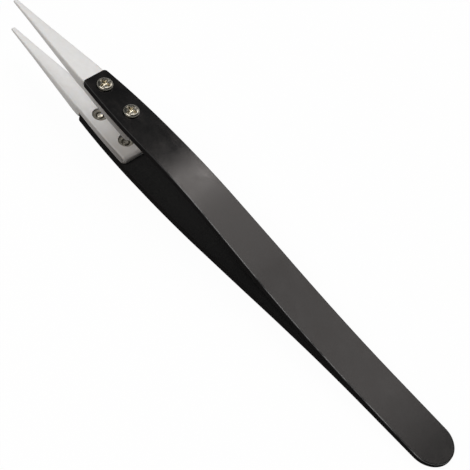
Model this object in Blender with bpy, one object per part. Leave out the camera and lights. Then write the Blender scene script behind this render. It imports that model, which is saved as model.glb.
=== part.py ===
"""Precision tweezers: two coated spring strips welded at the heel, with screwed-on ceramic tips.

Tool frame: the heel end is at x = 0, the points lie towards -X, Y runs across the strips, and the two
arms mirror each other about z = 0. The whole tool is then laid on a level surface at z = 0.
"""
import math

import bmesh
import bpy
from mathutils import Matrix, Vector

# Strip outline, in metres
STRIP_LENGTH = 0.1036
STRIP_THICKNESS = 0.00155
HEEL_THICKNESS = 0.0005
HEEL_TAPER_LENGTH = 0.050
STRIP_EDGE_RADIUS = 0.00018
HEEL_WIDTH = 0.0086
HEEL_ROUND_LENGTH = 0.0048
WAIST_WIDTH = 0.0077
FRONT_WIDTH = 0.0057
FRONT_CORNER_RADIUS = 0.0007
WIDE_PART_LENGTH = 0.035
FRONT_TAPER_LENGTH = 0.0197

# Strip side profile: flat heel, spreading bend, straight leg, crest bend, straight front run
HEEL_FLAT_LENGTH = 0.018
SPREAD_RADIUS = 0.270
SPREAD_ANGLE = math.radians(7.05)
LEG_LENGTH = 0.0130
CREST_RADIUS = 0.140
TURN_IN_ANGLE = math.radians(0.4)

# Ceramic tip: heights are measured outwards from the strip's inner face
BLADE_LENGTH = 0.0264
CLAMP_LENGTH = 0.0156
CLAMP_THICKNESS = 0.0020
ROOT_THICKNESS = 0.0015
ROOT_WIDTH = 0.0058
STEP_HEIGHT = 0.0011
STEP_GAP = 0.00005
STEP_LEAN = 0.00005
POINT_WIDTH = 0.0009
POINT_HEIGHT = 0.00015
POINT_THICKNESS = 0.0006
TIP_EDGE_RADIUS = 0.00035
TIP_INSET = 0.0001

# Screws and nuts
SCREW_FRONT_SETBACK = 0.0034
SCREW_PITCH = 0.0084
SCREW_DIAMETER = 0.0016
SCREW_HEAD_DIAMETER = 0.0034
SCREW_HEAD_HEIGHT = 0.0009
SCREW_HEAD_RIM = 0.0004
SCREW_CROWN_DIAMETER = 0.0016
RECESS_SPAN = 0.0021
RECESS_SLOT = 0.00048
RECESS_DEPTH = 0.00065
RECESS_TAPER = 0.55
SCREW_END_CHAMFER = 0.0002
NUT_DIAMETER = 0.0032
NUT_HEIGHT = 0.0008
NUT_CHAMFER = 0.00012
NUT_FLOOR = 0.00045
SCREW_TURNS = {"upper_front": 24.0, "upper_rear": 52.0, "lower_front": 8.0, "lower_rear": 71.0}

# Heel welds and flexing
WELD_DIAMETER = 0.0034
WELD_PITCH = 0.0050
WELD_SETBACK = 0.0042
SEAM_GAP = 0.00012
FLEX_SETBACK = 0.022

# Clearances
SEAT_GAP = 0.00003
HOLE_CLEARANCE = 0.0001
CUT_OVERRUN = 0.001
RECESS_OVERRUN = 0.0002

# Mesh fineness
CORNER_STEPS = 2
ROUND_SIDES = 32
HEEL_STEPS = 11
BEND_STEPS = 14
RUN_STEPS = 5
TAPER_STEPS = 8
BLADE_STEPS = 8
DOME_STEPS = 6
SMOOTH_ANGLE = math.radians(30)
FULLEST_ROUND = 0.9

SPREAD_ARC = SPREAD_RADIUS * SPREAD_ANGLE
CREST_ARC = CREST_RADIUS * (SPREAD_ANGLE + TURN_IN_ANGLE)
SPREAD_START = HEEL_FLAT_LENGTH
LEG_START = SPREAD_START + SPREAD_ARC
CREST_START = LEG_START + LEG_LENGTH
FRONT_RUN_START = CREST_START + CREST_ARC


def clear_scene():
    for item in list(bpy.data.objects):
        bpy.data.objects.remove(item, do_unlink=True)


def make_material(name, colour, roughness, metallic):
    material = bpy.data.materials.new(name)
    material.use_nodes = True
    shader = material.node_tree.nodes["Principled BSDF"]
    shader.inputs["Base Color"].default_value = (*colour, 1.0)
    shader.inputs["Roughness"].default_value = roughness
    shader.inputs["Metallic"].default_value = metallic
    return material


def straight(start, heading, run):
    """The point reached from start after a run along heading, the angle above -X."""
    return start + Vector((-math.cos(heading), math.sin(heading))) * run


def bend(start, heading, radius, turn):
    """The point reached from start along an arc that turns by the angle turn, positive outwards."""
    side = math.copysign(1.0, turn)
    ahead = heading + turn
    shift_x = math.sin(ahead) - math.sin(heading)
    shift_z = math.cos(heading) - math.cos(ahead)
    return start + Vector((-shift_x, shift_z)) * radius * side


def strip_place(run):
    """Point (x, z) on the inner face of the upper strip and its heading, a run away from the heel end."""
    point = Vector((0.0, SEAM_GAP / 2))
    if run <= SPREAD_START:
        return straight(point, 0.0, run), 0.0
    point = straight(point, 0.0, SPREAD_START)
    if run <= LEG_START:
        turn = (run - SPREAD_START) / SPREAD_RADIUS
        return bend(point, 0.0, SPREAD_RADIUS, turn), turn
    point = bend(point, 0.0, SPREAD_RADIUS, SPREAD_ANGLE)
    if run <= CREST_START:
        return straight(point, SPREAD_ANGLE, run - LEG_START), SPREAD_ANGLE
    point = straight(point, SPREAD_ANGLE, LEG_LENGTH)
    if run <= FRONT_RUN_START:
        turn = (run - CREST_START) / CREST_RADIUS
        return bend(point, SPREAD_ANGLE, CREST_RADIUS, -turn), SPREAD_ANGLE - turn
    point = bend(point, SPREAD_ANGLE, CREST_RADIUS, -SPREAD_ANGLE - TURN_IN_ANGLE)
    return straight(point, -TURN_IN_ANGLE, run - FRONT_RUN_START), -TURN_IN_ANGLE


def at_strip(run, across, outward):
    """Point beside the upper strip: a run from the heel end, across it, and outward of its inner face."""
    (x, z), heading = strip_place(run)
    return Vector((x + outward * math.sin(heading), across, z + outward * math.cos(heading)))


def strip_outline(run):
    """Half the strip's width a run away from the heel end, before its ends are rounded."""
    taper_start = STRIP_LENGTH - FRONT_TAPER_LENGTH
    if run <= WIDE_PART_LENGTH:
        return HEEL_WIDTH / 2
    if run <= taper_start:
        share = (run - WIDE_PART_LENGTH) / (taper_start - WIDE_PART_LENGTH)
        ease = share * share * (3 - 2 * share)
        return (HEEL_WIDTH + (WAIST_WIDTH - HEEL_WIDTH) * ease) / 2
    share = (run - taper_start) / FRONT_TAPER_LENGTH
    return (WAIST_WIDTH + (FRONT_WIDTH - WAIST_WIDTH) * share * share) / 2


def strip_half_width(run):
    half = strip_outline(run)
    if run < HEEL_ROUND_LENGTH:
        share = 1 - run / HEEL_ROUND_LENGTH
        return half * math.sqrt(1 - share * share)
    to_front = STRIP_LENGTH - run
    if to_front < FRONT_CORNER_RADIUS:
        reach = FRONT_CORNER_RADIUS - to_front
        return half - FRONT_CORNER_RADIUS + math.sqrt(FRONT_CORNER_RADIUS ** 2 - reach ** 2)
    return half


def strip_thickness(run):
    """The strip is ground thinner towards the heel end."""
    share = min(run / HEEL_TAPER_LENGTH, 1.0)
    return HEEL_THICKNESS + (STRIP_THICKNESS - HEEL_THICKNESS) * share


def spaced(start, end, steps):
    return [start + (end - start) * step / steps for step in range(steps)]


def strip_runs():
    """Where the strip's cross-sections stand, from the heel end to the front end."""
    runs = []
    for step in range(1, HEEL_STEPS):
        swing = math.pi / 2 * step / HEEL_STEPS
        runs.append(HEEL_ROUND_LENGTH * (1 - math.cos(swing)))
    front_corner = STRIP_LENGTH - FRONT_CORNER_RADIUS
    taper_start = STRIP_LENGTH - FRONT_TAPER_LENGTH
    marks = {HEEL_ROUND_LENGTH, SPREAD_START, HEEL_TAPER_LENGTH, LEG_START, CREST_START, FRONT_RUN_START,
             WIDE_PART_LENGTH, taper_start, front_corner}
    marks = sorted(mark for mark in marks if HEEL_ROUND_LENGTH <= mark <= front_corner)
    for start, end in zip(marks, marks[1:]):
        on_bend = SPREAD_START <= start < LEG_START or CREST_START <= start < FRONT_RUN_START
        steps = BEND_STEPS if on_bend else RUN_STEPS
        runs += spaced(start, end, TAPER_STEPS if start >= taper_start else steps)
    for step in range(CORNER_STEPS * 2 + 1):
        swing = math.pi / 2 * step / (CORNER_STEPS * 2)
        runs.append(front_corner + FRONT_CORNER_RADIUS * math.sin(swing))
    return runs


def round_section(half_width, low, high, radius):
    """Points (across, outward) round a rectangle whose corners are rounded."""
    radius = min(radius, FULLEST_ROUND * (high - low) / 2, FULLEST_ROUND * half_width)
    corners = ((half_width, high, 0.0), (-half_width, high, 90.0),
               (-half_width, low, 180.0), (half_width, low, 270.0))
    points = []
    for across, outward, start in corners:
        centre_across = across - math.copysign(radius, across)
        centre_outward = outward - radius if outward == high else outward + radius
        for step in range(CORNER_STEPS + 1):
            swing = math.radians(start + 90.0 * step / CORNER_STEPS)
            points.append((centre_across + radius * math.cos(swing),
                           centre_outward + radius * math.sin(swing)))
    return points


def add_object(name, mesh, parent, material=None):
    item = bpy.data.objects.new(name, mesh)
    bpy.context.scene.collection.objects.link(item)
    item.parent = parent
    if material is None:
        item.hide_render = True
        item.display_type = "WIRE"
    elif not mesh.materials:
        mesh.materials.append(material)
    return item


def finish_mesh(name, shape):
    bmesh.ops.recalc_face_normals(shape, faces=shape.faces)
    mesh = bpy.data.meshes.new(name)
    shape.to_mesh(mesh)
    shape.free()
    mesh.shade_smooth()
    mesh.set_sharp_from_angle(angle=SMOOTH_ANGLE)
    return mesh


def loft_mesh(name, rings):
    """A closed mesh through rings of points, with flat ends."""
    shape = bmesh.new()
    loops = [[shape.verts.new(point) for point in ring] for ring in rings]
    for loop, following in zip(loops, loops[1:]):
        for index, vert in enumerate(loop):
            after = (index + 1) % len(loop)
            shape.faces.new((vert, loop[after], following[after], following[index]))
    shape.faces.new(loops[0])
    shape.faces.new(loops[-1])
    return finish_mesh(name, shape)


def turned_mesh(name, profile):
    """A closed mesh turned about Z from (radius, height) points; a zero radius makes a pole."""
    shape = bmesh.new()
    loops = []
    for radius, height in profile:
        if radius == 0.0:
            loops.append([shape.verts.new((0.0, 0.0, height))])
            continue
        ring = []
        for side in range(ROUND_SIDES):
            swing = math.tau * side / ROUND_SIDES
            ring.append(shape.verts.new((radius * math.cos(swing), radius * math.sin(swing), height)))
        loops.append(ring)
    closed = profile[0][0] > 0.0
    pairs = list(zip(loops, loops[1:]))
    if closed:
        pairs.append((loops[-1], loops[0]))
    for loop, following in pairs:
        for side in range(ROUND_SIDES):
            after = (side + 1) % ROUND_SIDES
            if len(loop) == 1:
                shape.faces.new((loop[0], following[side], following[after]))
            elif len(following) == 1:
                shape.faces.new((loop[side], loop[after], following[0]))
            else:
                shape.faces.new((loop[side], loop[after], following[after], following[side]))
    return finish_mesh(name, shape)


def screw_mesh():
    """A pan-head screw: the seat under its head is at z = 0 and its shank runs down."""
    head = SCREW_HEAD_DIAMETER / 2
    shank = SCREW_DIAMETER / 2
    dome = SCREW_HEAD_HEIGHT - SCREW_HEAD_RIM
    crown = SCREW_CROWN_DIAMETER / 2
    profile = [(0.0, SCREW_HEAD_HEIGHT)]
    for step in range(DOME_STEPS + 1):
        swing = math.pi / 2 * step / DOME_STEPS
        profile.append((crown + (head - crown) * math.sin(swing), SCREW_HEAD_RIM + dome * math.cos(swing)))
    profile.append((head, 0.0))
    profile.append((shank, 0.0))
    end = -screw_shank_length()
    profile.append((shank, end + SCREW_END_CHAMFER))
    profile.append((shank - SCREW_END_CHAMFER, end))
    profile.append((0.0, end))
    return turned_mesh("pan_head_screw", profile)


def screw_shank_length():
    """From the seat under the head, through strip and ceramic, to the nut's outer face."""
    return SEAT_GAP + STRIP_THICKNESS + SEAT_GAP + NUT_FLOOR + SEAT_GAP + NUT_HEIGHT


def recess_mesh():
    """The cross-shaped cutter for a screw head, its mouth above the head's top."""
    rings = []
    slope = (1 - RECESS_TAPER) / RECESS_DEPTH
    for height in (SCREW_HEAD_HEIGHT + RECESS_OVERRUN, SCREW_HEAD_HEIGHT - RECESS_DEPTH):
        share = 1 + (height - SCREW_HEAD_HEIGHT) * slope
        reach = RECESS_SPAN / 2 * share
        slot = RECESS_SLOT / 2 * share
        ring = []
        for quarter in range(4):
            turn = Matrix.Rotation(math.radians(-90 * quarter), 3, "Z")
            for x, y in ((slot, slot), (reach, slot), (reach, -slot)):
                ring.append(turn @ Vector((x, y, height)))
        rings.append(ring)
    return loft_mesh("cross_recess", rings)


def nut_mesh():
    """A round nut: its seat is at z = 0 and it stands up to its outer face."""
    outer = NUT_DIAMETER / 2
    bore = SCREW_DIAMETER / 2 + HOLE_CLEARANCE / 2
    profile = [(bore, NUT_HEIGHT), (outer - NUT_CHAMFER, NUT_HEIGHT), (outer, NUT_HEIGHT - NUT_CHAMFER),
               (outer, 0.0), (bore, 0.0)]
    return turned_mesh("round_nut", profile)


def strip_hole_mesh():
    radius = SCREW_DIAMETER / 2 + HOLE_CLEARANCE
    top = STRIP_THICKNESS + CUT_OVERRUN
    return turned_mesh("strip_hole", [(0.0, top), (radius, top), (radius, -CUT_OVERRUN), (0.0, -CUT_OVERRUN)])


def tip_hole_mesh():
    """The cutter for a tip's hole: z = 0 is the strip's inner face and the counterbore opens downwards."""
    radius = SCREW_DIAMETER / 2 + HOLE_CLEARANCE
    wide = NUT_DIAMETER / 2 + HOLE_CLEARANCE
    floor = -SEAT_GAP - NUT_FLOOR
    bottom = -CLAMP_THICKNESS - CUT_OVERRUN
    return turned_mesh("tip_hole", [(0.0, CUT_OVERRUN), (radius, CUT_OVERRUN), (radius, floor),
                                    (wide, floor), (wide, bottom), (0.0, bottom)])


def cut(item, cutter):
    modifier = item.modifiers.new(cutter.name, "BOOLEAN")
    modifier.operation = "DIFFERENCE"
    modifier.solver = "EXACT"
    modifier.object = cutter


def mirrored(points, side):
    return [Vector((point.x, point.y, point.z * side)) for point in points]


def make_strip(arm, side, axis, material):
    rings = []
    for run in strip_runs():
        section = round_section(strip_half_width(run), 0.0, strip_thickness(run), STRIP_EDGE_RADIUS)
        ring = [at_strip(run, across, outward) for across, outward in section]
        rings.append([point - axis.location for point in mirrored(ring, side)])
    return add_object(arm + "_arm", loft_mesh(arm + "_arm", rings), axis, material)


def clamp_thickness(run):
    """The part of the tip that lies inside the strip thins towards the blade."""
    share = (STRIP_LENGTH - run) / CLAMP_LENGTH
    return ROOT_THICKNESS + (CLAMP_THICKNESS - ROOT_THICKNESS) * share


def tip_sections():
    """Run from the heel, half width, and inner and outer faces of each cross-section of the ceramic tip."""
    sections = []
    rear = STRIP_LENGTH - CLAMP_LENGTH
    step = STRIP_LENGTH + STEP_GAP
    face = -SEAT_GAP
    for run in spaced(rear, step, TAPER_STEPS) + [step]:
        sections.append((run, strip_outline(run) - TIP_INSET, face - clamp_thickness(run), face))
    root = step + STEP_LEAN
    root_low = face - clamp_thickness(root)
    point_low = POINT_HEIGHT - POINT_THICKNESS
    for number in range(BLADE_STEPS + 1):
        share = number / BLADE_STEPS
        run = root + (STRIP_LENGTH + BLADE_LENGTH - root) * share
        half = (ROOT_WIDTH + (POINT_WIDTH - ROOT_WIDTH) * share) / 2
        low = root_low + (point_low - root_low) * share
        high = STEP_HEIGHT + (POINT_HEIGHT - STEP_HEIGHT) * share
        sections.append((run, half, low, high))
    return sections


def make_tip(arm, side, axis, material):
    rings = []
    for run, half, low, high in tip_sections():
        ring = [at_strip(run, across, outward)
                for across, outward in round_section(half, low, high, TIP_EDGE_RADIUS)]
        rings.append([point - axis.location for point in mirrored(ring, side)])
    return add_object(arm + "_tip", loft_mesh(arm + "_tip", rings), axis, material)


def stack_matrix(run, outward, side):
    """Placement at a screw's axis, with local Z pointing out of the tool on the given side."""
    heading = strip_place(run)[1]
    lean = Matrix.Rotation(heading * side, 4, "Y")
    if side < 0:
        lean = lean @ Matrix.Rotation(math.pi, 4, "X")
    point = mirrored([at_strip(run, 0.0, outward)], side)[0]
    return Matrix.Translation(point) @ lean


def place(item, axis, matrix):
    item.matrix_local = Matrix.Translation(-axis.location) @ matrix


def make_fasteners(arm, side, axis, strip, tip, meshes, steel):
    nut_seat = -SEAT_GAP - NUT_FLOOR - SEAT_GAP
    for number, spot in enumerate(("front", "rear")):
        run = STRIP_LENGTH - SCREW_FRONT_SETBACK - SCREW_PITCH * number
        for solid, shape in ((strip, "strip_hole"), (tip, "tip_hole")):
            cutter = add_object(f"{solid.name}_{spot}_hole", meshes[shape], axis)
            place(cutter, axis, stack_matrix(run, 0.0, side))
            cut(solid, cutter)
        turn = Matrix.Rotation(math.radians(SCREW_TURNS[f"{arm}_{spot}"]), 4, "Z")
        seat = stack_matrix(run, STRIP_THICKNESS + SEAT_GAP, side) @ turn
        screw = add_object(f"{arm}_screw_{spot}", meshes["screw"], axis, steel)
        place(screw, axis, seat)
        recess = add_object(f"{arm}_recess_{spot}", meshes["recess"], axis)
        place(recess, axis, seat)
        cut(screw, recess)
        nut = add_object(f"{arm}_nut_{spot}", meshes["nut"], axis, steel)
        flip = Matrix.Rotation(math.pi, 4, "X")
        place(nut, axis, stack_matrix(run, nut_seat, side) @ flip)


def make_welds(heel, steel):
    half = SEAM_GAP / 2 - SEAT_GAP
    radius = WELD_DIAMETER / 2
    mesh = turned_mesh("weld_nugget", [(0.0, half), (radius, half), (radius, -half), (0.0, -half)])
    for number, spot in enumerate(("rear", "front")):
        weld = add_object(f"heel_weld_{spot}", mesh, heel, steel)
        weld.location.x = -WELD_SETBACK - WELD_PITCH * number


def make_empty(name, parent, location):
    empty = bpy.data.objects.new(name, None)
    bpy.context.scene.collection.objects.link(empty)
    empty.parent = parent
    empty.location = location
    return empty


def support_edge(points, balance):
    """The two (x, z) points that the tool lies on: the lower hull's edge under its balance point."""
    hull = []
    for point in sorted(points):
        while len(hull) > 1:
            (ax, az), (bx, bz) = hull[-2:]
            if (bx - ax) * (point[1] - az) - (bz - az) * (point[0] - ax) > 0:
                break
            hull.pop()
        hull.append(point)
    for first, second in zip(hull, hull[1:]):
        if first[0] <= balance <= second[0]:
            return first, second
    raise ValueError("the balance point lies outside the tool")


def lay_down(heel):
    """Turns and shifts the whole tool so that it lies on z = 0 with its box centred on the origin."""
    bpy.context.view_layer.update()
    solids = [item for item in heel.children_recursive if item.type == "MESH" and not item.hide_render]
    points = []
    for item in solids:
        for vert in item.data.vertices:
            spot = item.matrix_world @ vert.co
            points.append((spot.x, spot.z))
    first, second = support_edge(points, -STRIP_LENGTH / 2)
    tilt = math.atan2(second[1] - first[1], second[0] - first[0])
    turned_x = [x * math.cos(tilt) + z * math.sin(tilt) for x, z in points]
    turned_z = [z * math.cos(tilt) - x * math.sin(tilt) for x, z in points]
    heel.rotation_euler.y = tilt
    heel.location.x = -(min(turned_x) + max(turned_x)) / 2
    heel.location.z = -min(turned_z)
    bpy.context.view_layer.update()


def main():
    clear_scene()
    coat = make_material("black_coat", (0.022, 0.022, 0.023), 0.45, 0.0)
    ceramic = make_material("white_ceramic", (0.78, 0.77, 0.75), 0.25, 0.0)
    steel = make_material("bright_steel", (0.62, 0.61, 0.58), 0.28, 1.0)
    meshes = {"strip_hole": strip_hole_mesh(), "tip_hole": tip_hole_mesh(), "screw": screw_mesh(),
              "recess": recess_mesh(), "nut": nut_mesh()}
    heel = make_empty("heel_frame", None, (0.0, 0.0, 0.0))
    for arm, side in (("upper", 1), ("lower", -1)):
        axis = make_empty(arm + "_flex_axis", heel, (-FLEX_SETBACK, 0.0, 0.0))
        strip = make_strip(arm, side, axis, coat)
        tip = make_tip(arm, side, axis, ceramic)
        make_fasteners(arm, side, axis, strip, tip, meshes, steel)
    make_welds(heel, steel)
    lay_down(heel)


main()
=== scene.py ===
import math

import bmesh
import bpy
from bpy.props import FloatProperty, FloatVectorProperty, IntProperty, PointerProperty
from mathutils import Matrix, Vector


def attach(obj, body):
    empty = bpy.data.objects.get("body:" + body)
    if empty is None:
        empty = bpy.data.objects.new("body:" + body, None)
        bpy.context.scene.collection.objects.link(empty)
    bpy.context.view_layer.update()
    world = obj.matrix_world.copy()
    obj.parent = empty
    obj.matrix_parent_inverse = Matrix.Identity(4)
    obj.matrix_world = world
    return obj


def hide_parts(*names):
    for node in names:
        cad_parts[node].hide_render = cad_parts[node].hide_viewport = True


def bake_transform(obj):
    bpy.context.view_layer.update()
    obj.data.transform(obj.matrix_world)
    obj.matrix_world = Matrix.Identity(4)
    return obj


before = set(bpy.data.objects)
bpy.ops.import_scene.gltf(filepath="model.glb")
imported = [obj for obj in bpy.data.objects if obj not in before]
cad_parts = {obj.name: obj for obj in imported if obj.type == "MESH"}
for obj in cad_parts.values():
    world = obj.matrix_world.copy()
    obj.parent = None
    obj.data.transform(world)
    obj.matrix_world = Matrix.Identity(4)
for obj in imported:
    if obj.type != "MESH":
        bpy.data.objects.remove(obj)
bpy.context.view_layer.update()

bl_info = {
    "name": "Ceramic-Tipped Tweezers",
    "version": (1, 0, 0),
    "blender": (4, 5, 0),
    "location": "View3D > Sidebar > Tweezers",
    "description": "Makes the finished pieces of a pair of precision tweezers around their CAD frame",
    "category": "Add Mesh",
}

ARMS = (("upper", 1), ("lower", -1))
SPOTS = ("front", "rear")


# Settings, with sizes in metres

def length(name, description, default):
    return FloatProperty(name=name, description=description, default=default, min=0.0,
                         unit="LENGTH", precision=5)


def angle(name, description, degrees):
    return FloatProperty(name=name, description=description, default=math.radians(degrees),
                         subtype="ANGLE")


def colour(name, description, default):
    return FloatVectorProperty(name=name, description=description, default=default, size=3,
                               min=0.0, max=1.0, subtype="COLOR")


def share(name, description, default):
    return FloatProperty(name=name, description=description, default=default, min=0.0, max=1.0,
                         subtype="FACTOR")


class ArmSizes(bpy.types.PropertyGroup):
    """Sizes of the two spring strips."""
    strip_length: length("Strip Length", "Heel end to front end, along the strip", 0.1036)
    thickness: length("Thickness", "Thickness of the strip with its coat", 0.00155)
    heel_thickness: length("Heel Thickness", "Thickness that the heel end is ground down to", 0.0005)
    heel_taper: length("Heel Taper", "Length over which the heel is ground thinner", 0.050)
    edge_radius: length("Edge Radius", "Rounding of the strip's long edges", 0.00015)
    heel_width: length("Heel Width", "Width of the strip at the heel", 0.0086)
    heel_round: length("Heel Round", "How far the heel's round end reaches along the strip", 0.0048)
    waist_width: length("Waist Width", "Width of the strip where its front taper starts", 0.0077)
    front_width: length("Front Width", "Width of the strip at its front end", 0.0057)
    front_corner: length("Front Corner", "Radius of the front end's corners", 0.0007)
    wide_part: length("Wide Part", "Length of the part that has the heel's width", 0.035)
    front_taper: length("Front Taper", "Length of the taper at the front", 0.0197)
    heel_flat: length("Heel Flat", "Length of the flat heel", 0.018)
    spread_radius: length("Spread Radius", "Radius of the bend that spreads the arms", 0.270)
    spread_angle: angle("Spread Angle", "How far each arm spreads from the heel", 7.05)
    leg: length("Leg", "Straight length between the two bends", 0.0130)
    crest_radius: length("Crest Radius", "Radius of the bend at the arm's highest part", 0.140)
    turn_in: angle("Turn In", "How far the front run leans in", 0.4)
    seam: length("Seam", "Gap between the strips at the heel", 0.00012)
    weld_setback: length("Weld Setback", "From the heel end to the middle of the rear weld", 0.0042)
    flex_setback: length("Flex Setback", "From the heel end to the axis that the arms flex about", 0.022)
    flex_reach: length("Flex Reach", "Length of strip that the flexing is spread over", 0.026)


class TipSizes(bpy.types.PropertyGroup):
    """Sizes of the ceramic tips."""
    blade: length("Blade", "Length of the tip beyond the strip", 0.0264)
    clamp: length("Clamp", "Length of the tip under the strip", 0.0156)
    clamp_thickness: length("Clamp Thickness", "Thickness of the tip at its clamped end", 0.0020)
    root_thickness: length("Root Thickness", "Thickness of the tip under the strip's front end", 0.0015)
    root_width: length("Root Width", "Width of the blade at its root", 0.0058)
    step_height: length("Step Height", "Height of the blade's root over the strip's inner face", 0.0011)
    step_gap: length("Step Gap", "Gap between the strip's front end and the blade's step", 0.00005)
    step_lean: length("Step Lean", "How far the step's wall leans", 0.00005)
    step_round: length("Step Round", "Rounding of the step's edge", 0.00025)
    edge_radius: length("Edge Radius", "Rounding of the tip's edges", 0.00055)
    rear_corner: length("Rear Corner", "Radius of the corners of the clamped end", 0.0010)
    rear_round: length("Rear Round", "Rounding of the clamped end's inner edge", 0.0010)
    rear_edge: length("Rear Edge", "Rounding of the clamped end's outer edge", 0.0003)
    point_width: length("Point Width", "Width of the point", 0.0009)
    point_height: length("Point Height", "Height of the point over the strip's inner face", 0.00015)
    point_thickness: length("Point Thickness", "Thickness of the point", 0.0006)
    inset: length("Inset", "How far the tip's sides lie inside the strip's", 0.0001)
    seat: length("Seat Gap", "Gap between seated faces", 0.00003)


class FastenerSizes(bpy.types.PropertyGroup):
    """Sizes of the screws and nuts."""
    front_setback: length("Front Setback", "From the strip's front end to the first screw", 0.0034)
    pitch: length("Pitch", "Distance between the screws", 0.0084)
    shank: length("Shank", "Diameter of the screw's shank", 0.0016)
    head: length("Head", "Diameter of the screw's head", 0.0034)
    head_height: length("Head Height", "Height of the screw's head", 0.0007)
    head_rim: length("Head Rim", "Height of the straight rim of the head", 0.00022)
    crown: length("Crown", "Diameter of the flat crown of the head", 0.0020)
    recess_span: length("Recess Span", "Span of the cross recess", 0.0024)
    recess_slot: length("Recess Slot", "Width of the recess's slots", 0.00066)
    recess_depth: length("Recess Depth", "Depth of the cross recess", 0.00075)
    recess_taper: share("Recess Taper", "Size of the recess at its floor, as a share of its mouth", 0.55)
    end_chamfer: length("End Chamfer", "Chamfer of the screw's end", 0.0002)
    end_dome: length("End Dome", "Height of the dome of the screw's end", 0.00012)
    nut: length("Nut", "Diameter of the round nut", 0.0032)
    nut_height: length("Nut Height", "Height of the nut", 0.0008)
    nut_chamfer: length("Nut Chamfer", "Chamfer of the nut's rim", 0.00012)
    nut_floor: length("Nut Floor", "Thickness of the ceramic between the strip and the nut", 0.00045)
    clearance: length("Clearance", "Radial clearance round screws and nuts", 0.0001)
    sides: IntProperty(name="Sides", description="Sides of a round piece", default=72, min=12)


class Finishes(bpy.types.PropertyGroup):
    """Colours of the finishes, as linear values."""
    coat: colour("Coat", "Black coat of the arms", (0.0030, 0.0031, 0.0033))
    coat_worn: colour("Coat Dust", "Lighter specks of the coat", (0.0066, 0.0067, 0.0069))
    coat_haze: colour("Coat Haze", "Cloudy places in the coat", (0.0072, 0.0064, 0.0061))
    # Painted sheen: the inner faces get a lighter coat than the outer face, which lifts the shaded gap
    # between the arms
    coat_inner_sheen: colour("Coat Dull", "Coat of the inner faces", (0.022, 0.0217, 0.0214))
    coat_wall: colour("Coat Wall", "Coat of the cut walls", (0.018, 0.0165, 0.0162))
    ceramic: colour("Ceramic", "White ceramic", (0.81, 0.81, 0.81))
    ceramic_shade: colour("Ceramic Shade", "Darker grain of the ceramic", (0.77, 0.765, 0.76))
    # Painted shade: the tip's narrow sides are darker because less light falls on them
    ceramic_side_shade: colour("Ceramic Side", "Ceramic of the blades' narrow sides", (0.64, 0.625, 0.605))
    # Painted shade: the tip is darker where it lies under the strip, towards its clamped end
    ceramic_clamp_shade: colour("Ceramic Shading", "Ceramic that is shaded by its clamp", (0.45, 0.43, 0.41))
    # Painted shadow: the tip's narrow sides are darker still under the strip, where its edge shades them
    ceramic_side_shadow: colour("Ceramic Shadow", "Sides that are shaded by the clamp", (0.12, 0.107, 0.096))
    steel: colour("Steel", "Bright steel of screws and nuts", (0.46, 0.44, 0.385))
    steel_shade: colour("Steel Shade", "Tool marks in the steel", (0.24, 0.215, 0.17))
    weld: colour("Weld", "Bare steel of the weld nuggets", (0.33, 0.32, 0.31))
    weld_tint: colour("Weld Tint", "Heat tint of the weld nuggets", (0.20, 0.15, 0.11))


class StageSettings(bpy.types.PropertyGroup):
    """Camera, lamps and floor."""
    azimuth: angle("Azimuth", "Camera's turn about the tool's upright axis", 32.937)
    elevation: angle("Elevation", "Camera's height above the tool's own plane", 53.459)
    roll: angle("Roll", "Camera's turn about its own axis", 18.294)
    distance: length("Distance", "From the camera to the point that it looks at", 0.260)
    aim_back: length("Aim", "From the heel end to the point that the camera looks at", 0.059795)
    aim_across: length("Aim Across", "From the tool's middle to that point", 0.001176)
    lens: FloatProperty(name="Lens", description="Focal length in millimetres on a 36 mm sensor",
                        default=101.66, min=1.0, subtype="DISTANCE_CAMERA")
    floor: colour("Floor", "Colour of the floor by which it lights the tool", (0.28, 0.275, 0.27))
    floor_seen: colour("Floor Seen", "Colour of the floor as it is seen", (0.95, 0.95, 0.95))
    floor_glow: share("Floor Glow", "How much of the floor's white is its own", 0.96)
    key_power: FloatProperty(name="Key Power", description="Power of the lamp behind the tool",
                             default=0.85, min=0.0, unit="POWER")
    strip_power: FloatProperty(name="Strip Power", description="Power of the narrow lamp beside the key",
                               default=0.365, min=0.0, unit="POWER")
    fill_power: FloatProperty(name="Fill Power", description="Power of the lamp on the camera's side",
                              default=1.55, min=0.0, unit="POWER")
    world_light: share("World Light", "Light from all round", 0.11)


def settings():
    return bpy.context.scene.tweezers


class TweezerSettings(bpy.types.PropertyGroup):
    """All settings of the tweezers."""
    arm: PointerProperty(type=ArmSizes)
    tip: PointerProperty(type=TipSizes)
    fastener: PointerProperty(type=FastenerSizes)
    finish: PointerProperty(type=Finishes)
    stage: PointerProperty(type=StageSettings)


# The tool's own frame and the line of the strips

def node_middle(name):
    """The middle of a CAD node's box."""
    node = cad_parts[name]
    corners = [Vector(corner) for corner in node.bound_box]
    return node.matrix_world @ (sum(corners, Vector()) / len(corners))


def tool_frame():
    """From the tool's own frame, with its heel end at x = 0 and its points towards -X, to the row frame."""
    rear = node_middle("heel_weld_rear")
    along = rear - node_middle("heel_weld_front")
    tilt = math.atan2(-along.z, along.x)
    to_heel = Matrix.Translation((settings().arm.weld_setback, 0.0, 0.0))
    return Matrix.Translation(rear) @ Matrix.Rotation(tilt, 4, "Y") @ to_heel


def straight(start, heading, run):
    return start + Vector((-math.cos(heading), math.sin(heading))) * run


def bend(start, heading, radius, turn):
    side = math.copysign(1.0, turn)
    ahead = heading + turn
    shift = Vector((math.sin(heading) - math.sin(ahead), math.cos(heading) - math.cos(ahead)))
    return start + shift * radius * side


def strip_marks():
    """Runs from the heel end where the strip's line changes: spread, leg, crest and front run."""
    arm = settings().arm
    leg_start = arm.heel_flat + arm.spread_radius * arm.spread_angle
    crest_start = leg_start + arm.leg
    front_start = crest_start + arm.crest_radius * (arm.spread_angle + arm.turn_in)
    return arm.heel_flat, leg_start, crest_start, front_start


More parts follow.
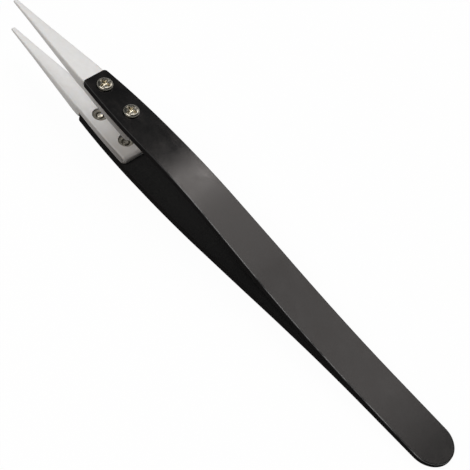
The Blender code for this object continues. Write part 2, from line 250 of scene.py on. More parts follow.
def strip_place(run):
    """Point (x, z) on the inner face of the upper strip and its heading, a run away from the heel end."""
    arm = settings().arm
    spread_start, leg_start, crest_start, front_start = strip_marks()
    point = Vector((0.0, arm.seam / 2))
    if run <= spread_start:
        return straight(point, 0.0, run), 0.0
    point = straight(point, 0.0, spread_start)
    if run <= leg_start:
        turn = (run - spread_start) / arm.spread_radius
        return bend(point, 0.0, arm.spread_radius, turn), turn
    point = bend(point, 0.0, arm.spread_radius, arm.spread_angle)
    if run <= crest_start:
        return straight(point, arm.spread_angle, run - leg_start), arm.spread_angle
    point = straight(point, arm.spread_angle, arm.leg)
    if run <= front_start:
        turn = (run - crest_start) / arm.crest_radius
        return bend(point, arm.spread_angle, arm.crest_radius, -turn), arm.spread_angle - turn
    point = bend(point, arm.spread_angle, arm.crest_radius, -arm.spread_angle - arm.turn_in)
    return straight(point, -arm.turn_in, run - front_start), -arm.turn_in


def at_strip(run, across, outward, side):
    """Tool-frame point by a strip: its run from the heel end, across, and outward of the inner face."""
    (x, z), heading = strip_place(run)
    return Vector((x + outward * math.sin(heading), across, (z + outward * math.cos(heading)) * side))


def strip_half_width(run):
    """Half the strip's width a run away from the heel end, before its ends are rounded."""
    arm = settings().arm
    taper_start = arm.strip_length - arm.front_taper
    if run <= arm.wide_part:
        return arm.heel_width / 2
    if run <= taper_start:
        part = (run - arm.wide_part) / (taper_start - arm.wide_part)
        ease = part * part * (3 - 2 * part)
        return (arm.heel_width + (arm.waist_width - arm.heel_width) * ease) / 2
    part = (run - taper_start) / arm.front_taper
    return (arm.waist_width + (arm.front_width - arm.waist_width) * part * part) / 2


def strip_thickness(run):
    """The strip is ground thinner towards the heel end."""
    arm = settings().arm
    part = min(max(run, 0.0) / arm.heel_taper, 1.0)
    return arm.heel_thickness + (arm.thickness - arm.heel_thickness) * part


def stack_frame(run, outward, side):
    """Tool-frame placement at a screw's axis, with local Z pointing out of the tool on the given side."""
    lean = Matrix.Rotation(strip_place(run)[1] * side, 4, "Y")
    if side < 0:
        lean = lean @ Matrix.Rotation(math.pi, 4, "X")
    return Matrix.Translation(at_strip(run, 0.0, outward, side)) @ lean


def screw_runs():
    """Where the front and rear screws stand along the strip."""
    arm = settings().arm
    fastener = settings().fastener
    front = arm.strip_length - fastener.front_setback
    return {"front": front, "rear": front - fastener.pitch}


# Mesh making

SHARP_ANGLE = math.radians(35.0)
MERGE_DISTANCE = 1e-7


def new_object(name, data, *materials):
    item = bpy.data.objects.new(name, data)
    bpy.context.scene.collection.objects.link(item)
    for material in materials:
        data.materials.append(material)
    return item


def even_steps(start, end, count):
    """Values from start to end in a count of even steps, with both ends."""
    return [start + (end - start) * step / count for step in range(count + 1)]


def quarter_turn(count):
    """The angles of a quarter turn in a count of even steps."""
    return even_steps(0.0, math.pi / 2, count)


def finish_mesh(name, shape):
    bmesh.ops.remove_doubles(shape, verts=shape.verts, dist=MERGE_DISTANCE)
    bmesh.ops.recalc_face_normals(shape, faces=shape.faces)
    mesh = bpy.data.meshes.new(name)
    shape.to_mesh(mesh)
    shape.free()
    mesh.shade_smooth()
    mesh.set_sharp_from_angle(angle=SHARP_ANGLE)
    return mesh


def turned_mesh(name, profile, sides):
    """A mesh turned about Z from (radius, height) points, which start at a pole or close to a ring."""
    shape = bmesh.new()
    loops = []
    for radius, height in profile:
        count = sides if radius > 0.0 else 1
        loops.append([shape.verts.new((radius * math.cos(swing), radius * math.sin(swing), height))
                      for swing in even_steps(0.0, math.tau, sides)[:count]])
    pairs = list(zip(loops, loops[1:]))
    if profile[0][0] > 0.0:
        pairs.append((loops[-1], loops[0]))
    for loop, following in pairs:
        for step in range(sides):
            after = (step + 1) % sides
            corners = [loop[step % len(loop)], loop[after % len(loop)],
                       following[after % len(following)], following[step % len(following)]]
            shape.faces.new(list(dict.fromkeys(corners)))
    return finish_mesh(name, shape)


def rounded(start, corner, end, radius, steps=5):
    """Points of a profile that rounds a corner between two straight runs."""
    corner = Vector(corner)
    back = (Vector(start) - corner).normalized()
    ahead = (Vector(end) - corner).normalized()
    half = back.angle(ahead) / 2
    reach = radius / math.tan(half)
    middle = (back + ahead).normalized()
    centre = corner + middle * (radius / math.sin(half))
    first = corner + back * reach - centre
    last = corner + ahead * reach - centre
    sweep = first.angle(last)
    square = (last - first * math.cos(sweep)) / math.sin(sweep)
    return [tuple(centre + first * math.cos(swing) + square * math.sin(swing))
            for swing in even_steps(0.0, sweep, steps)]


def cut(item, *cutters):
    """Cuts the cutters out of an object's mesh for good, and removes them."""
    for cutter in cutters:
        modifier = item.modifiers.new(cutter.name, "BOOLEAN")
        modifier.operation = "DIFFERENCE"
        modifier.solver = "EXACT"
        modifier.object = cutter
    graph = bpy.context.evaluated_depsgraph_get()
    mesh = bpy.data.meshes.new_from_object(item.evaluated_get(graph))
    old = item.data
    item.modifiers.clear()
    item.data = mesh
    mesh.name = old.name
    mesh.set_sharp_from_angle(angle=SHARP_ANGLE)
    bpy.data.meshes.remove(old)
    for cutter in cutters:
        bpy.data.objects.remove(cutter)


# Finishes

# Runs between which the handled edge's gloss sets in
GRIP_FRONT = 0.080
GRIP_REAR = 0.070
# How far in front of the strip the tip's painted shade starts, on its faces and on its sides
CLAMP_SHADE_LEAD = 0.003
SIDE_SHADOW_LEAD = 0.010
# Sideways part of the normal between which a tip's face turns into its side, with its painted shade
SIDE_START = 0.35
SIDE_FULL = 0.95


class Surface:
    """A new material and the nodes of its finish. Texture scales are features per metre."""

    def __init__(self, name):
        self.material = bpy.data.materials.new(name)
        self.material.use_nodes = True
        self.nodes = self.material.node_tree.nodes
        self.links = self.material.node_tree.links
        self.shader = self.nodes["Principled BSDF"]

    def feed(self, socket, value):
        """Links a socket to an output, or sets it to a plain value."""
        if isinstance(value, bpy.types.NodeSocket):
            self.links.new(value, socket)
        elif socket.type == "RGBA":
            socket.default_value = (*value, 1.0)
        else:
            socket.default_value = value

    def put(self, name, value):
        """Feeds one of the shader's sockets."""
        self.feed(self.shader.inputs[name], value)

    def add(self, kind, inputs, **options):
        """A node with its options set and its inputs fed."""
        node = self.nodes.new(kind)
        for name, value in options.items():
            setattr(node, name, value)
        for name, value in inputs.items():
            self.feed(node.inputs[name], value)
        return node

    def spot(self, kind):
        return self.add("ShaderNodeTexCoord", {}).outputs[kind]

    def place(self, scale):
        """Object coordinates stretched by a scale for each axis."""
        inputs = {"Vector": self.spot("Object"), "Scale": scale}
        return self.add("ShaderNodeMapping", inputs).outputs["Vector"]

    def noise(self, scale, detail=4.0, roughness=0.55):
        inputs = {"Vector": self.place(scale), "Scale": 1.0, "Detail": detail, "Roughness": roughness}
        return self.add("ShaderNodeTexNoise", inputs).outputs["Fac"]

    def ramp(self, source, start, end, first, second):
        """Runs from the first colour to the second as the source goes from start to end."""
        node = self.add("ShaderNodeValToRGB", {"Fac": source})
        for stop, position, tone in zip(node.color_ramp.elements, (start, end), (first, second)):
            stop.position = position
            stop.color = (*tone, 1.0)
        return node.outputs["Color"]

    def spread(self, source, start, end):
        """Maps a source from 0 to 1 onto start to end."""
        inputs = {"Value": source, "To Min": start, "To Max": end}
        return self.add("ShaderNodeMapRange", inputs).outputs["Result"]

    def eased(self, source, start, end):
        """Runs smoothly from 0 to 1 as the source goes from start to end."""
        inputs = {"Value": source, "From Min": start, "From Max": end}
        return self.add("ShaderNodeMapRange", inputs, interpolation_type="SMOOTHSTEP").outputs["Result"]

    def worked(self, operation, *values):
        """One or two values put through an operation."""
        return self.add("ShaderNodeMath", dict(enumerate(values)), operation=operation).outputs["Value"]

    def mixed(self, part, first, second):
        """A colour mixed from the first one towards the second."""
        inputs = {"Factor": part, "A": first, "B": second}
        return self.add("ShaderNodeMix", inputs, data_type="RGBA").outputs["Result"]

    def bump(self, height, strength, distance, before=None):
        inputs = {"Height": height, "Strength": strength, "Distance": distance}
        if before is not None:
            inputs["Normal"] = before
        return self.add("ShaderNodeBump", inputs).outputs["Normal"]

    def axis(self, vector, name):
        return self.add("ShaderNodeSeparateXYZ", {"Vector": vector}).outputs[name]

    def along(self, start, end):
        """Runs from 0 to 1 along the tool, between two runs from the heel end."""
        ends = [(tool_frame() @ at_strip(run, 0.0, 0.0, 1)).x for run in (start, end)]
        return self.eased(self.axis(self.spot("Object"), "X"), *ends)


def coat_material():
    """Satin black coat: a fine even grain, with clouds in its tone and its gloss."""
    finish = settings().finish
    coat = Surface("satin_black_coat")
    grain = coat.noise((3500.0, 3500.0, 3500.0))
    clouds = coat.noise((260.0, 330.0, 330.0), detail=5.0, roughness=0.7)
    tone = coat.ramp(grain, start=0.45, end=0.75, first=finish.coat, second=finish.coat_worn)
    tone = coat.mixed(coat.eased(clouds, start=0.44, end=0.68), tone, finish.coat_haze)
    coat.put("Base Color", tone)
    coat.put("Roughness", coat.spread(clouds, start=0.10, end=0.34))
    coat.put("Normal", coat.bump(grain, strength=0.26, distance=0.00002))
    coat.put("Specular IOR Level", 0.275)
    coat.put("Specular Tint", (1.0, 0.95, 0.935))
    return coat.material


def edge_material():
    """The coat on one outer edge of a strip: handled to a gloss in places, but not at the front."""
    finish = settings().finish
    edge = Surface("burnished_black_coat")
    wear = edge.noise((160.0, 900.0, 900.0), detail=5.0)
    handled = edge.along(GRIP_FRONT, GRIP_REAR)
    gloss = edge.worked("MULTIPLY", edge.eased(wear, start=0.66, end=0.44), handled)
    edge.put("Base Color", edge.ramp(wear, start=0.35, end=0.7, first=finish.coat, second=finish.coat_worn))
    edge.put("Roughness", edge.spread(gloss, start=1.0, end=0.15))
    edge.put("Normal", edge.bump(wear, strength=0.15, distance=0.00002))
    edge.put("Specular IOR Level", 0.9)
    return edge.material


def dull_material(name, dark, light):
    """The coat on the strip's walls and inner face: duller than on the outer face, and on the inner face
    lighter, a painted sheen.
    """
    coat = Surface(name)
    grain = coat.noise((5000.0, 7000.0, 7000.0))
    coat.put("Base Color", coat.ramp(grain, start=0.3, end=0.7, first=dark, second=light))
    coat.put("Roughness", coat.spread(grain, start=0.6, end=0.75))
    coat.put("Normal", coat.bump(grain, strength=0.4, distance=0.00003))
    coat.put("Specular IOR Level", 0.006)
    return coat.material


def clamp_share(ceramic, lead):
    """Runs from 0, at a lead in front of the strip, to 1 at the tip's clamped end."""
    front = settings().arm.strip_length
    return ceramic.along(front + lead, front - settings().tip.clamp)


def side_share(ceramic):
    """Runs from 0 on the tip's faces to 1 on its sides."""
    sideways = ceramic.worked("ABSOLUTE", ceramic.axis(ceramic.spot("Normal"), "Y"))
    return ceramic.eased(sideways, SIDE_START, SIDE_FULL)


def ceramic_material():
    """Fine-ground white ceramic: faint mottling, grinding lines, and painted shade towards the clamped end
    and on the narrow sides.
    """
    finish = settings().finish
    ceramic = Surface("ground_white_ceramic")
    mottle = ceramic.noise((700.0, 900.0, 900.0), detail=5.0)
    lines = ceramic.noise((900.0, 14000.0, 14000.0), detail=3.0)
    side = side_share(ceramic)
    # Mask of the painted shadow on the narrow sides under the strip
    side_shadow_share = ceramic.worked("MULTIPLY", clamp_share(ceramic, SIDE_SHADOW_LEAD), side)
    tone = ceramic.ramp(mottle, start=0.3, end=0.7, first=finish.ceramic_shade, second=finish.ceramic)
    # Painted shade under the strip, darker towards the clamped end
    tone = ceramic.mixed(clamp_share(ceramic, CLAMP_SHADE_LEAD), tone, finish.ceramic_clamp_shade)
    # Painted shade on the narrow sides, where less light falls
    tone = ceramic.mixed(side, tone, finish.ceramic_side_shade)
    # Painted shadow on the narrow sides under the strip
    tone = ceramic.mixed(side_shadow_share, tone, finish.ceramic_side_shadow)
    ceramic.put("Base Color", tone)
    ceramic.put("Roughness", ceramic.spread(lines, start=0.34, end=0.5))
    ceramic.put("Normal", ceramic.bump(lines, strength=0.12, distance=0.00002))
    ceramic.put("Subsurface Weight", 0.15)
    ceramic.put("Subsurface Radius", (1.0, 0.8, 0.6))
    ceramic.put("Subsurface Scale", 0.0004)
    return ceramic.material


def steel_material(name, tone, smooth, rough):
    """Turned steel: rings from the lathe, darker tool marks at random in its grain, and a smooth to rough
    gloss.
    """
    finish = settings().finish
    steel = Surface(name)
    place = steel.place((2600.0, 2600.0, 2600.0))
    waves = {"Vector": place, "Scale": 1.0, "Distortion": 1.5, "Detail": 2.0}
    rings = steel.add("ShaderNodeTexWave", waves, wave_type="RINGS", rings_direction="Z").outputs["Fac"]
    grain = steel.noise((4200.0, 4200.0, 4200.0), detail=5.0)
    dark = [part * tone for part in finish.steel_shade]
    light = [part * tone for part in finish.steel]
    scratches = steel.bump(rings, strength=0.10, distance=0.00001)
    steel.put("Base Color", steel.ramp(grain, start=0.32, end=0.6, first=dark, second=light))
    steel.put("Roughness", steel.spread(grain, start=smooth, end=rough))
    steel.put("Normal", steel.bump(grain, strength=0.10, distance=0.00002, before=scratches))
    steel.put("Metallic", 1.0)
    return steel.material


def weld_material():
    """Bare weld steel with a brown heat tint in patches."""
    finish = settings().finish
    weld = Surface("tinted_weld_steel")
    patches = weld.noise((1500.0, 1500.0, 1500.0))
    tone = weld.ramp(patches, start=0.35, end=0.65, first=finish.weld_tint, second=finish.weld)
    weld.put("Base Color", tone)
    weld.put("Roughness", weld.spread(patches, start=0.45, end=0.7))
    weld.put("Normal", weld.bump(patches, strength=0.3, distance=0.00003))
    weld.put("Metallic", 1.0)
    return weld.material


# Arms

HEEL_STEPS = 28
CORNER_STEPS = 8
EDGE_STEPS = 5
RUN_STEP = 0.0012
# Inset of the flat loop that holds a round edge in place, as a share of the edge's radius
SUPPORT = 1.6
# The fullest rounding of an edge, as a share of half the thickness or width
FULLEST_ROUND = 0.92
OUTER_FACE, HANDLED_EDGE, WALL, INNER_FACE = range(4)


def arm_outline():
    """Run, half width and outward direction along one edge of a strip, from its heel to its front end."""
    arm = settings().arm
    places = []
    for swing in quarter_turn(HEEL_STEPS)[:-1]:
        along = arm.heel_round * (1 - math.cos(swing))
        half = arm.heel_width / 2 * math.sin(swing)
        outward = Vector((-math.cos(swing) / arm.heel_round, math.sin(swing) * 2 / arm.heel_width))
        places.append((along, half, outward.normalized()))
    corner_start = arm.strip_length - arm.front_corner
    count = round((corner_start - arm.heel_round) / RUN_STEP)
    for run in even_steps(arm.heel_round, corner_start, count)[:-1]:
        slope = (strip_half_width(run + RUN_STEP) - strip_half_width(run)) / RUN_STEP
        places.append((run, strip_half_width(run), Vector((-slope, 1.0)).normalized()))
    centre = strip_half_width(corner_start) - arm.front_corner
    for swing in quarter_turn(CORNER_STEPS):
        outward = Vector((math.sin(swing), math.cos(swing)))
        along, half = Vector((corner_start, centre)) + outward * arm.front_corner
        places.append((along, half, outward))
    return places


def edge_profile(thickness):
    """Inset from the outline and height over the inner face, from the outer face round to the inner one."""
    radius = min(settings().arm.edge_radius, FULLEST_ROUND * thickness / 2)
    upper = [(radius * SUPPORT, thickness)]
    for swing in quarter_turn(EDGE_STEPS):
        upper.append((radius * (1 - math.sin(swing)), thickness - radius * (1 - math.cos(swing))))
    lower = [(inset, thickness - height) for inset, height in reversed(upper)]
    return upper + lower


def strip_finish(step, last, hand):
    """Which of the arm's finishes a step of the edge profile has, on one hand's side."""
    if step == 0:
        return OUTER_FACE
    if step <= EDGE_STEPS and hand < 0:
        return HANDLED_EDGE
    return WALL if step < last - 1 else INNER_FACE


def arm_mesh(name, side):
    """A strip lofted along its line, with round edges, a round heel and a square front end."""
    shape = bmesh.new()
    rows = []
    for run, half, outward in arm_outline():
        row = {1: [], -1: []}
        for inset, height in edge_profile(strip_thickness(run)):
            along = run - inset * outward.x
            across = max(half - inset * outward.y, 0.0)
            for hand in row:
                row[hand].append(shape.verts.new(at_strip(along, across * hand, height, side)))
        rows.append(row)
    last = len(rows[0][1]) - 1
    faces = []
    for row, following in zip(rows, rows[1:]):
        for hand in (1, -1):
            for step in range(last):
                faces.append((step, hand, (row[hand][step], row[hand][step + 1],
                                           following[hand][step + 1], following[hand][step])))
        for step in (0, last):
            faces.append((step, 1, (row[1][step], row[-1][step], following[-1][step], following[1][step])))
    front = rows[-1]
    for step in range(last):
        faces.append((step, 1, (front[1][step], front[1][step + 1], front[-1][step + 1], front[-1][step])))
    for step, hand, corners in faces:
        face = shape.faces.new(corners)
        face.material_index = strip_finish(step, last, hand)
    bmesh.ops.transform(shape, matrix=tool_frame(), verts=shape.verts)
    return finish_mesh(name, shape)


def hole_cutter(arm, spot, side):
    fastener = settings().fastener
    radius = fastener.shank / 2 + fastener.clearance
    reach = settings().arm.thickness * 2
    profile = [(0.0, reach), (radius, reach), (radius, -reach), (0.0, -reach)]
    cutter = new_object(f"{arm}_{spot}_hole", turned_mesh("hole", profile, fastener.sides))
    cutter.matrix_world = tool_frame() @ stack_frame(screw_runs()[spot], 0.0, side)
    return cutter


class TWEEZERS_OT_arms(bpy.types.Operator):
    """Make the two coated spring strips"""
    bl_idname = "tweezers.arms"
    bl_label = "Make Arms"

    def execute(self, context):
        finish = settings().finish
        coats = (coat_material(), edge_material(),
                 dull_material("black_wall_coat", finish.coat, finish.coat_wall),
                 # the inner faces' lighter colours are painted sheen
                 dull_material("sheen_painted_inner_coat", finish.coat_worn, finish.coat_inner_sheen))
        for name, side in ARMS:
            strip = new_object(f"{name}_strip", arm_mesh(f"{name}_strip", side), *coats)
            cut(strip, *[hole_cutter(name, spot, side) for spot in SPOTS])
            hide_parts(f"{name}_arm")
            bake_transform(strip)
        return {"FINISHED"}


# Ceramic tips

TIP_CORNER_STEPS = 6
CLAMP_STEPS = 10
BLADE_STEPS = 18
REAR_STEPS = 12
END_STEPS = 6


def round_section(half, low, high, radius):
    """Points (across, outward) round a rectangle whose corners are rounded."""
    radius = min(radius, FULLEST_ROUND * (high - low) / 2, FULLEST_ROUND * half)
    points = []
    for quarter, (across, outward) in enumerate(((half, high), (-half, high), (-half, low), (half, low))):
        across -= math.copysign(radius, across)
        outward += -radius if outward == high else radius
        for step in range(TIP_CORNER_STEPS + 1):
            swing = math.pi / 2 * (quarter + step / TIP_CORNER_STEPS)
            points.append((across + radius * math.cos(swing), outward + radius * math.sin(swing)))
    return points


def blade_root():
    """Run from the heel end to the top of the step where the blade starts."""
    tip = settings().tip
    return settings().arm.strip_length + tip.step_gap + tip.step_lean


def clamp_face(run):
    """How far outward of the strip's inner face the inner face of the tip's clamped part lies."""
    tip = settings().tip
    part = (settings().arm.strip_length - run) / tip.clamp
    return -tip.seat - tip.root_thickness - (tip.clamp_thickness - tip.root_thickness) * part


def tip_size(run):
    """Half width, inner face and outer face of the tip a run away from the heel end."""
    tip = settings().tip
    root = blade_root()
    root_half = tip.root_width / 2
    if run < root:
        return strip_half_width(run) - tip.inset, clamp_face(run), -tip.seat
    part = (run - root) / (settings().arm.strip_length + tip.blade - root)
    clamp_half = strip_half_width(settings().arm.strip_length) - tip.inset
    half = min(root_half + (tip.point_width / 2 - root_half) * part, clamp_half)
    low = clamp_face(root) + (tip.point_height - tip.point_thickness - clamp_face(root)) * part
    return half, low, tip.step_height + (tip.point_height - tip.step_height) * part


def drawn_in(distance, radius):
    """How far a round end of a radius is drawn in at a distance from its end."""
    short = max(radius - distance, 0.0)
    return radius - math.sqrt(radius * radius - short * short)


def tip_runs():
    """Where the tip's cross-sections stand, and how far each is drawn in across, inside and outside."""
    arm = settings().arm
    tip = settings().tip
    rear = arm.strip_length - tip.clamp
    point = arm.strip_length + tip.blade
    point_round = tip.point_thickness * FULLEST_ROUND / 2
    runs = []
    for swing in quarter_turn(REAR_STEPS)[:-1]:
        reach = tip.rear_corner * (1 - math.cos(swing))
        insets = [drawn_in(reach, radius) for radius in (tip.rear_corner, tip.rear_round, tip.rear_edge)]
        runs.append((rear + reach, *insets))
    for run in even_steps(rear + tip.rear_corner, blade_root() - tip.step_lean, CLAMP_STEPS):
        runs.append((run, 0.0, 0.0, 0.0))
    for swing in quarter_turn(END_STEPS)[:-1]:
        reach = tip.step_round * (1 - math.cos(swing))
        runs.append((blade_root() + reach, 0.0, 0.0, drawn_in(reach, tip.step_round)))
    blade_end = point - point_round
    for run in even_steps(blade_root() + tip.step_round, blade_end, BLADE_STEPS)[:-1]:
        runs.append((run, 0.0, 0.0, 0.0))
    for swing in quarter_turn(END_STEPS)[:-1]:
        reach = point_round * math.sin(swing)
        inset = drawn_in(point_round - reach, point_round)
        runs.append((blade_end + reach, inset, inset, inset))
    return runs


def tip_mesh(name, side):
    """A ceramic blade lofted along the strip's front, with soft edges and round ends."""
    tip = settings().tip
    shape = bmesh.new()
    loops = []
    for run, narrow, inside, outside in tip_runs():
        half, low, high = tip_size(run)
        section = round_section(half - narrow, low + inside, high - outside, tip.edge_radius)
        loops.append([shape.verts.new(at_strip(run, across, outward, side)) for across, outward in section])
    for loop, following in zip(loops, loops[1:]):
        for step, vert in enumerate(loop):
            after = (step + 1) % len(loop)
            shape.faces.new((vert, loop[after], following[after], following[step]))
    shape.faces.new(loops[0])
    shape.faces.new(loops[-1])
    bmesh.ops.transform(shape, matrix=tool_frame(), verts=shape.verts)
    return finish_mesh(name, shape)


def tip_hole_cutter(arm, spot, side):
    """The hole for a screw, with the wider bore that its nut lies in."""
    fastener = settings().fastener
    tip = settings().tip
    radius = fastener.shank / 2 + fastener.clearance
    wide = fastener.nut / 2 + fastener.clearance
    top = tip.clamp_thickness
    floor = nut_seat() + tip.seat
    bottom = -tip.clamp_thickness * 2
    profile = [(0.0, top), (radius, top), (radius, floor), (wide, floor), (wide, bottom), (0.0, bottom)]
    cutter = new_object(f"{arm}_{spot}_bore", turned_mesh("bore", profile, fastener.sides))
    cutter.matrix_world = tool_frame() @ stack_frame(screw_runs()[spot], 0.0, side)
    return cutter


def nut_seat():
    """How far outward of the strip's inner face a nut's seat lies."""
    return -settings().tip.seat * 2 - settings().fastener.nut_floor


class TWEEZERS_OT_tips(bpy.types.Operator):
    """Make the two ceramic tips"""
    bl_idname = "tweezers.tips"
    bl_label = "Make Tips"

    def execute(self, context):
        ceramic = ceramic_material()
        for name, side in ARMS:
            tip = new_object(f"{name}_blade", tip_mesh(f"{name}_blade", side), ceramic)
            cut(tip, *[tip_hole_cutter(name, spot, side) for spot in SPOTS])
            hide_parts(f"{name}_tip")
            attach(tip, f"{name}_jaw")
        return {"FINISHED"}


# Screws and nuts

# How far each screw is turned, in degrees
SCREW_TURNS = {"upper_front": 14.0, "upper_rear": 12.0, "lower_front": 8.0, "lower_rear": 71.0}
DOME_STEPS = 12
RIM_ROUND = 0.00006
RECESS_FINISH = 1


def screw_end():
    """Height of the screw's end, seen from the seat under its head."""
    return nut_seat() - settings().fastener.nut_height - settings().arm.thickness - settings().tip.seat


def screw_mesh():
    """A pan-head screw: the seat under its head is at z = 0 and its shank runs down into the nut."""
    fastener = settings().fastener
    head = fastener.head / 2
    shank = fastener.shank / 2
    crown = fastener.crown / 2
    dome = fastener.head_height - fastener.head_rim
    end = screw_end()
    profile = [(0.0, fastener.head_height)]
    for swing in quarter_turn(DOME_STEPS):
        radius = crown + (head - crown) * math.sin(swing)
        profile.append((radius, fastener.head_rim + dome * math.cos(swing)))
    profile += rounded((head, fastener.head_rim), (head, 0.0), (shank, 0.0), RIM_ROUND)
    profile.append((shank, 0.0))
    profile.append((shank, end + fastener.end_chamfer))
    for swing in quarter_turn(END_STEPS):
        radius = (shank - fastener.end_chamfer) * math.cos(swing)
        profile.append((radius, end - fastener.end_dome * math.sin(swing)))
    return turned_mesh("pan_head_screw", profile, fastener.sides)


def finish_end(mesh):
    """Gives a screw's end, which is flush with its nut, the last of the screw's finishes."""
    for face in mesh.polygons:
        if face.center.z < screw_end():
            face.material_index = len(mesh.materials) - 1


def recess_cutter(finishes):
    """The tapered cross that is cut into a screw's head, and leaves its own finish on the walls: a much
    lighter steel, which is a painted glint.
    """
    fastener = settings().fastener
    shape = bmesh.new()
    rings = []
    depth = fastener.recess_depth
    for height in (depth / 2, -depth):
        size = 1 + height / depth * (1 - fastener.recess_taper)
        reach = fastener.recess_span / 2 * size
        slot = fastener.recess_slot / 2 * size
        ring = []
        for quarter in range(4):
            turn = Matrix.Rotation(-math.pi / 2 * quarter, 3, "Z")
            for x, y in ((slot, slot), (reach, slot), (reach, -slot)):
                ring.append(shape.verts.new(turn @ Vector((x, y, fastener.head_height + height))))
        rings.append(ring)
    for step, vert in enumerate(rings[0]):
        after = (step + 1) % len(rings[0])
        shape.faces.new((vert, rings[0][after], rings[1][after], rings[1][step]))
    shape.faces.new(rings[0])
    shape.faces.new(rings[1])
    for face in shape.faces:
        face.material_index = RECESS_FINISH
    return new_object("cross_recess", finish_mesh("cross_recess", shape), *finishes)


class TWEEZERS_OT_screws(bpy.types.Operator):
    """Make the four cross-recessed screws"""
    bl_idname = "tweezers.screws"
    bl_label = "Make Screws"

    def execute(self, context):
        finishes = (steel_material("turned_screw_steel", tone=0.62, smooth=0.18, rough=0.32),
                    # The recess walls' steel is much lighter than the head's: a painted glint
                    steel_material("recess_glint_steel", tone=1.6, smooth=0.15, rough=0.30))
        # The front screws' ends get a much lighter steel, a painted glint; the rear ones get the nuts'
        # duller steel
        ends = {"front": steel_material("end_glint_steel", tone=1.6, smooth=0.30, rough=0.45),
                "rear": steel_material("blunt_end_steel", tone=0.5, smooth=0.50, rough=0.65)}
        arm = settings().arm
        tip = settings().tip
        pattern = new_object("screw_pattern", screw_mesh(), *finishes)
        cut(pattern, recess_cutter(finishes))
        for name, side in ARMS:
            for spot in SPOTS:
                screw = new_object(f"{name}_pan_screw_{spot}", pattern.data.copy(), ends[spot])
                finish_end(screw.data)
                seat = stack_frame(screw_runs()[spot], arm.thickness + tip.seat, side)
                turn = Matrix.Rotation(math.radians(SCREW_TURNS[f"{name}_{spot}"]), 4, "Z")
                screw.matrix_world = tool_frame() @ seat @ turn
                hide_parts(f"{name}_screw_{spot}")
                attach(screw, f"{name}_jaw")
        bpy.data.objects.remove(pattern)
        return {"FINISHED"}


def nut_mesh():
    """A round nut: its seat is at z = 0 and it stands up to its outer face."""
    fastener = settings().fastener
    outer = fastener.nut / 2
    bore = fastener.shank / 2 + fastener.clearance / 2
    chamfer = fastener.nut_chamfer
    height = fastener.nut_height
    profile = [(bore, height - chamfer), (bore + chamfer, height), (outer - chamfer, height),
               (outer, height - chamfer), (outer, 0.0), (bore, 0.0)]
    return turned_mesh("round_nut", profile, fastener.sides)


class TWEEZERS_OT_nuts(bpy.types.Operator):
    """Make the four round nuts in the tips"""
    bl_idname = "tweezers.nuts"
    bl_label = "Make Nuts"

    def execute(self, context):
        steel = steel_material("turned_nut_steel", tone=0.5, smooth=0.42, rough=0.58)
        flip = Matrix.Rotation(math.pi, 4, "X")
        for name, side in ARMS:
            for spot in SPOTS:
                nut = new_object(f"{name}_round_nut_{spot}", nut_mesh(), steel)
                nut.matrix_world = tool_frame() @ stack_frame(screw_runs()[spot], nut_seat(), side) @ flip
                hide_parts(f"{name}_nut_{spot}")
                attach(nut, f"{name}_jaw")
        return {"FINISHED"}


class TWEEZERS_OT_welds(bpy.types.Operator):
    """Finish the two spot welds between the strips"""
    bl_idname = "tweezers.welds"
    bl_label = "Finish Welds"

    def execute(self, context):
        steel = weld_material()
        for spot in SPOTS:
            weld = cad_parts[f"heel_weld_{spot}"]
            weld.data.materials.clear()
            weld.data.materials.append(steel)
        return {"FINISHED"}


# Stage

FLOOR_RADIUS = 1.2
FLOOR_RIM = 0.5
FLOOR_SIDES = 96
FLOOR_RINGS = 4
FLOOR_STEPS = 8
# Places of the lamps in the tool's frame, and their sizes along the tool and across it
KEY_PLACE = (-0.137, 0.265, 0.424)
KEY_SIZE = (0.174, 0.48)
STRIP_PLACE = (-0.212, 0.250, 0.423)
STRIP_SIZE = (0.045, 0.32)
FILL_PLACE = (-0.12, -0.29, 0.40)
FILL_SIZE = (0.35, 0.30)
LAMP_TONE = (1.0, 0.98, 0.96)
WORLD_TONE = (0.92, 0.97, 1.0, 1.0)
SENSOR_WIDTH = 36.0
NEAREST_SEEN = 0.01
FURTHEST_SEEN = 20.0


def floor_material():
    """A white floor that keeps the tool's shadow."""
    stage = settings().stage
    floor = Surface("pale_floor")
    path = floor.add("ShaderNodeLightPath", {})
    seen = path.outputs["Is Camera Ray"]
    for kind in ("Is Glossy Ray", "Is Transmission Ray"):
        seen = floor.worked("MAXIMUM", seen, path.outputs[kind])
    floor.put("Base Color", floor.mixed(seen, stage.floor, stage.floor_seen))
    floor.put("Roughness", 0.9)
    floor.put("Specular IOR Level", 0.0)
    part = floor.spread(seen, start=0.0, end=stage.floor_glow)
    glow = floor.add("ShaderNodeEmission", {}).outputs["Emission"]
    mix = floor.add("ShaderNodeMixShader", {0: part, 1: floor.shader.outputs["BSDF"], 2: glow})
    floor.feed(floor.nodes["Material Output"].inputs["Surface"], mix.outputs["Shader"])
    return floor.material


def floor_mesh():
    """A wide round floor whose rim sweeps up all round."""
    profile = [(radius, 0.0) for radius in even_steps(0.0, FLOOR_RADIUS, FLOOR_RINGS)[:-1]]
    for swing in quarter_turn(FLOOR_STEPS):
        profile.append((FLOOR_RADIUS + FLOOR_RIM * math.sin(swing), FLOOR_RIM * (1 - math.cos(swing))))
    return turned_mesh("floor", profile, FLOOR_SIDES)


def add_lamp(name, place, size, power):
    """A soft box at a place in the tool's frame, turned to the tool's middle."""
    data = bpy.data.lights.new(name, "AREA")
    data.shape = "RECTANGLE"
    data.size, data.size_y = size
    data.energy = power
    data.color = LAMP_TONE
    lamp = new_object(name, data)
    middle = Vector((-settings().stage.aim_back, 0.0, 0.0))
    back = (Vector(place) - middle).normalized()
    along = (Vector((1.0, 0.0, 0.0)) - back * back.x).normalized()
    turn = Matrix((along, back.cross(along), back)).transposed().to_4x4()
    lamp.matrix_world = tool_frame() @ Matrix.Translation(place) @ turn


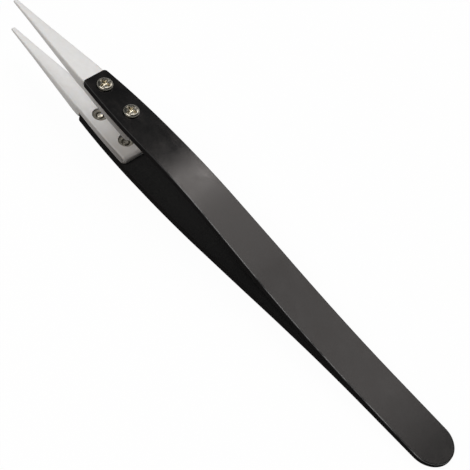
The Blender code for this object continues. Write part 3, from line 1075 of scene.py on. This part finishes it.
def add_camera():
    stage = settings().stage
    back = Vector((math.sin(stage.azimuth) * math.cos(stage.elevation),
                   -math.cos(stage.azimuth) * math.cos(stage.elevation), math.sin(stage.elevation)))
    right = Vector((math.cos(stage.azimuth), math.sin(stage.azimuth), 0.0))
    turn = Matrix((right, back.cross(right), back)).transposed() @ Matrix.Rotation(stage.roll, 3, "Z")
    aim = Vector((-stage.aim_back, stage.aim_across, 0.0))
    data = bpy.data.cameras.new("photo_camera")
    data.sensor_width = SENSOR_WIDTH
    data.lens = stage.lens
    data.clip_start = NEAREST_SEEN
    data.clip_end = FURTHEST_SEEN
    camera = new_object("photo_camera", data)
    camera.matrix_world = tool_frame() @ Matrix.Translation(aim + back * stage.distance) @ turn.to_4x4()
    bpy.context.scene.camera = camera


class TWEEZERS_OT_stage(bpy.types.Operator):
    """Set up the floor, the lamps and the camera"""
    bl_idname = "tweezers.stage"
    bl_label = "Set Stage"

    def execute(self, context):
        stage = settings().stage
        floor = new_object("floor", floor_mesh(), floor_material())
        world = bpy.data.worlds.new("studio")
        world.use_nodes = True
        background = world.node_tree.nodes["Background"]
        background.inputs["Color"].default_value = WORLD_TONE
        background.inputs["Strength"].default_value = stage.world_light
        context.scene.world = world
        context.scene.view_settings.view_transform = "Standard"
        add_lamp("key_lamp", KEY_PLACE, KEY_SIZE, stage.key_power)
        add_lamp("strip_lamp", STRIP_PLACE, STRIP_SIZE, stage.strip_power)
        add_lamp("fill_lamp", FILL_PLACE, FILL_SIZE, stage.fill_power)
        add_camera()
        return {"FINISHED"}


class TWEEZERS_PT_panel(bpy.types.Panel):
    """Steps and settings of the tweezers"""
    bl_idname = "TWEEZERS_PT_panel"
    bl_label = "Tweezers"
    bl_space_type = "VIEW_3D"
    bl_region_type = "UI"
    bl_category = "Tweezers"

    def draw(self, context):
        for operator in OPERATORS:
            self.layout.operator(operator.bl_idname)
        for group in ("arm", "tip", "fastener", "finish", "stage"):
            box = self.layout.box()
            values = getattr(context.scene.tweezers, group)
            for name in values.__annotations__:
                box.prop(values, name)


OPERATORS = (TWEEZERS_OT_arms, TWEEZERS_OT_tips, TWEEZERS_OT_screws, TWEEZERS_OT_nuts, TWEEZERS_OT_welds,
             TWEEZERS_OT_stage)
CLASSES = (ArmSizes, TipSizes, FastenerSizes, Finishes, StageSettings, TweezerSettings, *OPERATORS,
           TWEEZERS_PT_panel)


def register():
    for made in CLASSES:
        bpy.utils.register_class(made)
    bpy.types.Scene.tweezers = PointerProperty(type=TweezerSettings)


def unregister():
    del bpy.types.Scene.tweezers
    for made in reversed(CLASSES):
        bpy.utils.unregister_class(made)


def main():
    register()
    bpy.ops.tweezers.arms()
    bpy.ops.tweezers.tips()
    bpy.ops.tweezers.screws()
    bpy.ops.tweezers.nuts()
    bpy.ops.tweezers.welds()
    bpy.ops.tweezers.stage()


if __name__ == "__main__":
    main()
